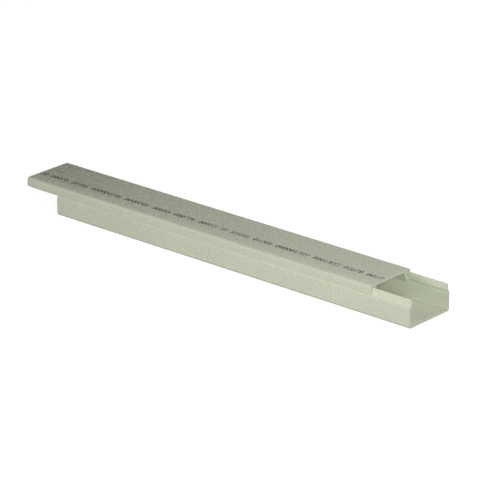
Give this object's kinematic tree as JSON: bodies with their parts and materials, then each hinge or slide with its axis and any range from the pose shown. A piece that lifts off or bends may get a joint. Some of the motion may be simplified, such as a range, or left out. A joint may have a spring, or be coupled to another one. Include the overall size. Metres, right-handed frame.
{
  "type": "mini trunking",
  "caption": "Short length of solid-wall plastic cable duct: a U-shaped channel and the cover that snaps over its lips, shown slid part way along.",
  "frame": {"origin": "middle of the channel's underside, the face that is fixed to a wall", "axes": "+X along the duct, away from the end that the cover overhangs; +Y across it; +Z out of the wall, towards the cover"},
  "size_m": [0.2075, 0.025, 0.013],
  "materials": {
    "channel_pvc": "matt extruded pvc, pale grey with a green tint",
    "cover_pvc": "matt extruded pvc, pale grey with a green tint",
    "marking_ink": "matt black dot-matrix ink"
  },
  "bodies": {
    "channel": {"base_channel": "channel_pvc"},
    "cover": {"snap_cover": "cover_pvc"}
  },
  "joints": [
    {"name": "cover_slide", "type": "slide", "parent": "channel", "child": "cover", "axis": [1, 0, 0], "range_m": [-0.1505, 0.1875]}
  ]
}
